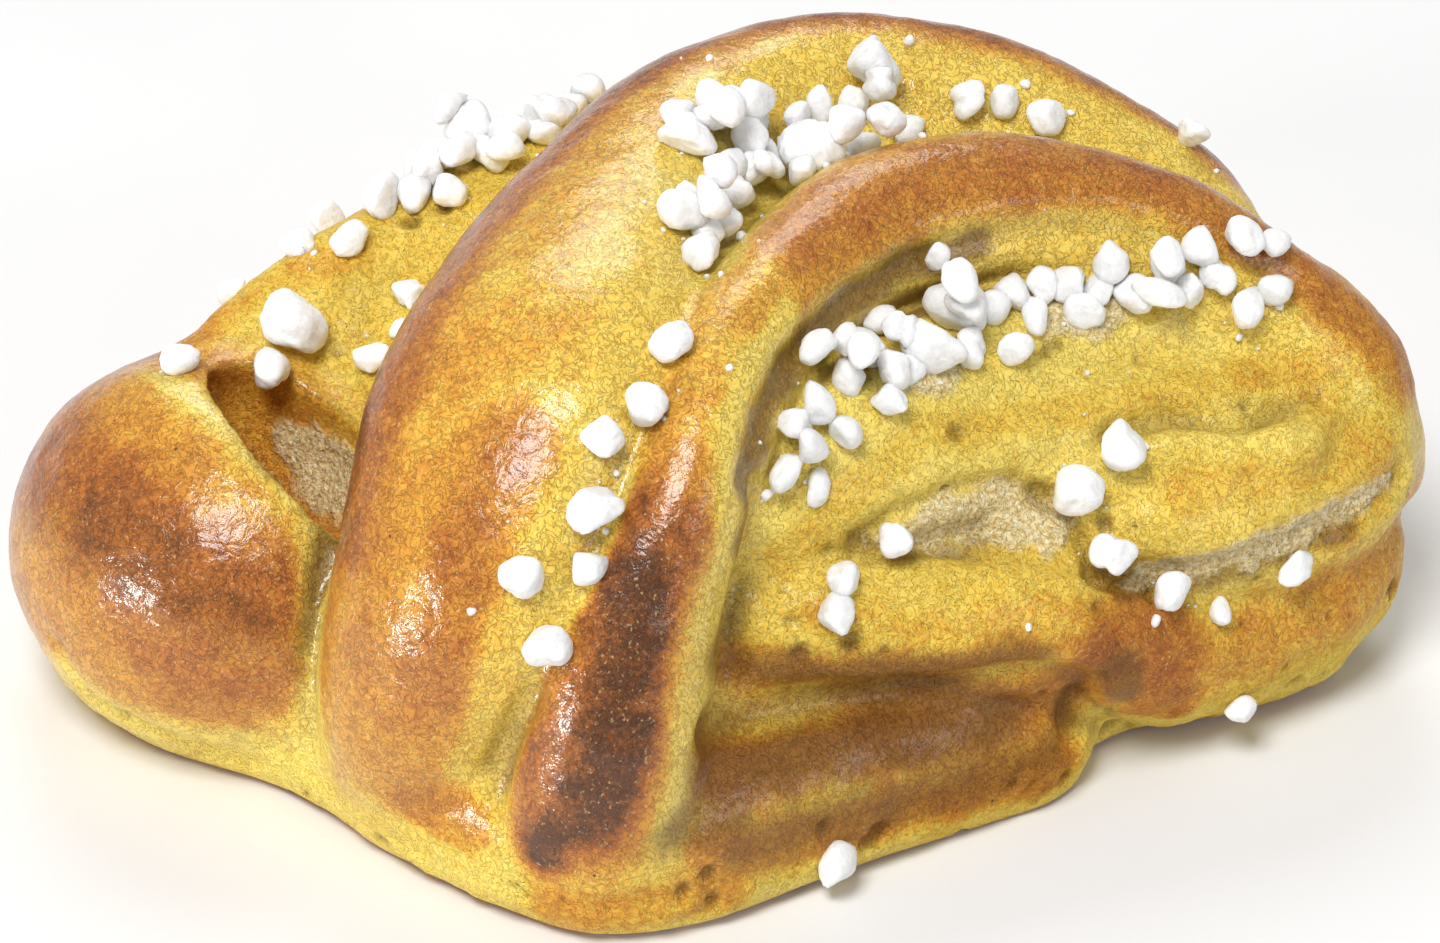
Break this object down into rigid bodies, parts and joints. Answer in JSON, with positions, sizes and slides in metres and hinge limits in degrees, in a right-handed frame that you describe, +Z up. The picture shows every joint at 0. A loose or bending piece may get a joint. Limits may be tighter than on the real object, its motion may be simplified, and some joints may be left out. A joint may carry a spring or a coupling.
{
  "type": "saffron bun",
  "caption": "Baked saffron bun: a snipped dough roll whose joined slices lean and fan apart, glazed brown over soft yellow crumb, strewn with pearl sugar grains.",
  "frame": {"origin": "middle of the flat base that the bun was baked on, at the centre of the whole part's box in X and Y", "axes": "+Z up; -Y towards the rounded ends of the slices; +X towards the snipped face that shows the rolled layers"},
  "size_m": [0.078, 0.09, 0.0443],
  "materials": {
    "crust": "satin",
    "sugar": "matt"
  },
  "bodies": {
    "root": {"bun": "crust", "sugar_left_01": "sugar", "sugar_left_02": "sugar", "sugar_left_03": "sugar", "sugar_left_04": "sugar", "sugar_left_05": "sugar", "sugar_left_06": "sugar", "sugar_left_07": "sugar", "sugar_left_08": "sugar", "sugar_left_09": "sugar", "sugar_left_10": "sugar", "sugar_left_11": "sugar", "sugar_left_12": "sugar", "sugar_left_13": "sugar", "sugar_left_14": "sugar", "sugar_left_15": "sugar", "sugar_left_16": "sugar", "sugar_top_01": "sugar", "sugar_top_02": "sugar", "sugar_top_03": "sugar", "sugar_top_04": "sugar", "sugar_top_05": "sugar", "sugar_top_06": "sugar", "sugar_top_07": "sugar", "sugar_top_08": "sugar", "sugar_top_09": "sugar", "sugar_top_10": "sugar", "sugar_top_11": "sugar", "sugar_top_12": "sugar", "sugar_top_13": "sugar", "sugar_top_14": "sugar", "sugar_top_15": "sugar", "sugar_middle_01": "sugar", "sugar_middle_02": "sugar", "sugar_middle_03": "sugar", "sugar_middle_04": "sugar", "sugar_middle_05": "sugar", "sugar_middle_06": "sugar", "sugar_middle_07": "sugar", "sugar_inner_01": "sugar", "sugar_inner_02": "sugar", "sugar_inner_03": "sugar", "sugar_inner_04": "sugar", "sugar_inner_05": "sugar", "sugar_inner_06": "sugar", "sugar_inner_07": "sugar", "sugar_inner_08": "sugar", "sugar_inner_09": "sugar", "sugar_inner_10": "sugar", "sugar_inner_11": "sugar", "sugar_inner_12": "sugar", "sugar_inner_13": "sugar", "sugar_inner_14": "sugar", "sugar_inner_15": "sugar", "sugar_face_01": "sugar", "sugar_face_02": "sugar", "sugar_face_03": "sugar", "sugar_face_04": "sugar", "sugar_face_05": "sugar", "sugar_face_06": "sugar"}
  },
  "joints": []
}
